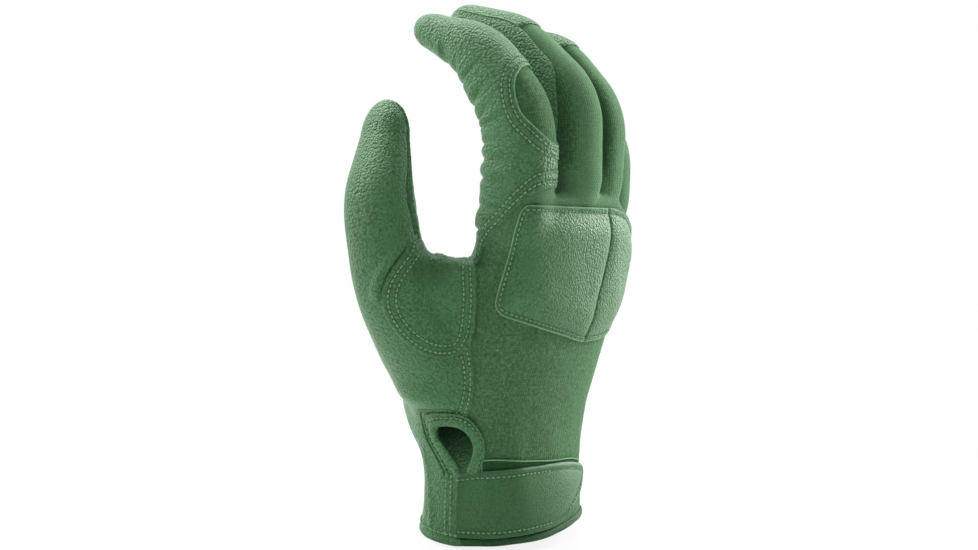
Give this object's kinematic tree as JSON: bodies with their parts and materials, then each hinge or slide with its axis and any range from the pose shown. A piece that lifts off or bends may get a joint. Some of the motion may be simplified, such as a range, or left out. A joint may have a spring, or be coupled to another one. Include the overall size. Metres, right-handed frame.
{
  "type": "tactical glove",
  "caption": "Right-hand work glove with leather palm, knit back, padded knuckle guard, bending fingers and a hook-and-loop wrist strap.",
  "frame": {"origin": "centre of the cuff opening, in the plane of the hem", "axes": "+Z from the hem to the fingertips, -Y the back of the hand, +Y the palm, -X the thumb side"},
  "size_m": [0.1105, 0.0772, 0.1982],
  "materials": {
    "leather": "pebbled, satin",
    "pad_leather": "fine grain, satin",
    "knit": "ribbed knit, matte",
    "binding": "woven, matte",
    "hook_and_loop": "napped, matte",
    "foam": "closed-cell foam"
  },
  "bodies": {
    "hand": {"palm_panel": "leather", "back_panel": "knit", "thumb_crotch_patch": "leather", "hem_binding": "binding", "slit_binding": "binding", "loop_patch": "hook_and_loop", "knuckle_pad_radial": "pad_leather", "knuckle_foam_radial": "foam", "knuckle_pad_ulnar": "pad_leather", "knuckle_foam_ulnar": "foam", "index_knuckle_crease": "leather", "middle_knuckle_crease": "knit", "ring_knuckle_crease": "knit", "little_knuckle_crease": "knit", "thumb_knuckle_crease": "leather"},
    "index_proximal": {"index_proximal_back": "leather", "index_proximal_palm": "leather", "index_middle_crease": "leather"},
    "index_middle": {"index_middle_back": "leather", "index_middle_palm": "leather", "index_tip_crease": "leather"},
    "index_distal": {"index_tip": "leather"},
    "middle_proximal": {"middle_proximal_back": "knit", "middle_proximal_palm": "leather", "middle_middle_crease": "knit"},
    "middle_middle": {"middle_middle_back": "knit", "middle_middle_palm": "leather", "middle_tip_crease": "knit"},
    "middle_distal": {"middle_tip": "leather"},
    "ring_proximal": {"ring_proximal_back": "knit", "ring_proximal_palm": "leather", "ring_middle_crease": "knit"},
    "ring_middle": {"ring_middle_back": "knit", "ring_middle_palm": "leather", "ring_tip_crease": "knit"},
    "ring_distal": {"ring_tip": "leather"},
    "little_proximal": {"little_proximal_back": "knit", "little_proximal_palm": "leather", "little_middle_crease": "knit"},
    "little_middle": {"little_middle_back": "knit", "little_middle_palm": "leather", "little_tip_crease": "knit"},
    "little_distal": {"little_tip": "leather"},
    "thumb_proximal": {"thumb_outer": "leather", "thumb_inner": "leather", "thumb_tip_crease": "leather"},
    "thumb_distal": {"thumb_tip": "leather"},
    "strap": {"strap_body": "leather", "hook_patch_body": "hook_and_loop"},
    "strap_tip": {"strap_tip": "leather", "hook_patch_tip": "hook_and_loop"}
  },
  "joints": [
    {"name": "index_knuckle_bend", "type": "hinge", "parent": "hand", "child": "index_proximal", "pos_m": [-0.0332, -0.0173, 0.135], "axis": [-0.9988, 0.0054, -0.0493], "range_deg": [-14, 42], "stiffness_Nm_per_rad": 0.05, "deforming": ["index_knuckle_crease"]},
    {"name": "index_middle_bend", "type": "hinge", "parent": "index_proximal", "child": "index_middle", "pos_m": [-0.03438, -0.01741, 0.15897], "axis": [-0.9988, 0.0054, -0.0493], "range_deg": [-40, 32], "stiffness_Nm_per_rad": 0.03, "deforming": ["index_middle_crease"]},
    {"name": "index_tip_bend", "type": "hinge", "parent": "index_middle", "child": "index_distal", "pos_m": [-0.03521, 0.00124, 0.17778], "axis": [-0.9988, 0.0054, -0.0493], "range_deg": [-28.5, 22.9], "deforming": ["index_tip_crease"]},
    {"name": "middle_knuckle_bend", "type": "hinge", "parent": "hand", "child": "middle_proximal", "pos_m": [-0.0109, -0.0193, 0.1375], "axis": [-0.9999, 0.0016, -0.0148], "range_deg": [-14, 42], "stiffness_Nm_per_rad": 0.05, "deforming": ["middle_knuckle_crease"]},
    {"name": "middle_middle_bend", "type": "hinge", "parent": "middle_proximal", "child": "middle_middle", "pos_m": [-0.0113, -0.0199, 0.16449], "axis": [-0.9999, 0.0016, -0.0148], "range_deg": [-40, 32], "stiffness_Nm_per_rad": 0.03, "deforming": ["middle_middle_crease"]},
    {"name": "middle_tip_bend", "type": "hinge", "parent": "middle_middle", "child": "middle_distal", "pos_m": [-0.01158, 0.00014, 0.18545], "axis": [-0.9999, 0.0016, -0.0148], "range_deg": [-28.5, 22.9], "deforming": ["middle_tip_crease"]},
    {"name": "ring_knuckle_bend", "type": "hinge", "parent": "hand", "child": "ring_proximal", "pos_m": [0.01115, -0.0198, 0.136], "axis": [-0.9998, -0.0022, 0.0198], "range_deg": [-14, 42], "stiffness_Nm_per_rad": 0.05, "deforming": ["ring_knuckle_crease"]},
    {"name": "ring_middle_bend", "type": "hinge", "parent": "ring_proximal", "child": "ring_middle", "pos_m": [0.01164, -0.01992, 0.16099], "axis": [-0.9998, -0.0022, 0.0198], "range_deg": [-38, 32], "stiffness_Nm_per_rad": 0.03, "deforming": ["ring_middle_crease"]},
    {"name": "ring_tip_bend", "type": "hinge", "parent": "ring_middle", "child": "ring_distal", "pos_m": [0.012, -0.0016, 0.18083], "axis": [-0.9998, -0.0022, 0.0198], "range_deg": [-27.1, 22.9], "deforming": ["ring_tip_crease"]},
    {"name": "little_knuckle_bend", "type": "hinge", "parent": "hand", "child": "little_proximal", "pos_m": [0.0322, -0.0134, 0.129], "axis": [-0.9982, -0.0065, 0.0592], "range_deg": [-14, 42], "stiffness_Nm_per_rad": 0.05, "deforming": ["little_knuckle_crease"]},
    {"name": "little_middle_bend", "type": "hinge", "parent": "little_proximal", "child": "little_middle", "pos_m": [0.03338, -0.01245, 0.14894], "axis": [-0.9982, -0.0065, 0.0592], "range_deg": [-36, 30], "stiffness_Nm_per_rad": 0.03, "deforming": ["little_middle_crease"]},
    {"name": "little_tip_bend", "type": "hinge", "parent": "little_middle", "child": "little_distal", "pos_m": [0.03416, 0.00113, 0.16361], "axis": [-0.9982, -0.0065, 0.0592], "range_deg": [-25.7, 21.5], "deforming": ["little_tip_crease"]},
    {"name": "thumb_knuckle_bend", "type": "hinge", "parent": "hand", "child": "thumb_proximal", "pos_m": [-0.05351, 0.0205, 0.09422], "axis": [0.1088, -0.9566, 0.2705], "range_deg": [-20, 22], "stiffness_Nm_per_rad": 0.06, "deforming": ["thumb_knuckle_crease", "thumb_crotch_patch"]},
    {"name": "thumb_tip_bend", "type": "hinge", "parent": "thumb_proximal", "child": "thumb_distal", "pos_m": [-0.05695, 0.02811, 0.12252], "axis": [0.1088, -0.9566, 0.2705], "range_deg": [-36, 14], "stiffness_Nm_per_rad": 0.03, "deforming": ["thumb_tip_crease"]},
    {"name": "strap_swing", "type": "hinge", "parent": "hand", "child": "strap", "pos_m": [-0.03598, 0.00296, 0.017], "axis": [0, 0, -1], "range_deg": [0, 110]},
    {"name": "strap_peel", "type": "hinge", "parent": "strap", "child": "strap_tip", "pos_m": [-0.00221, -0.03001, 0.017], "axis": [0, 0, -1], "range_deg": [0, 40]}
  ],
  "couplings": [
    {"joint": "index_tip_bend", "follows": "index_middle_bend", "ratio": 0.7},
    {"joint": "middle_tip_bend", "follows": "middle_middle_bend", "ratio": 0.7},
    {"joint": "ring_tip_bend", "follows": "ring_middle_bend", "ratio": 0.7},
    {"joint": "little_tip_bend", "follows": "little_middle_bend", "ratio": 0.7}
  ]
}
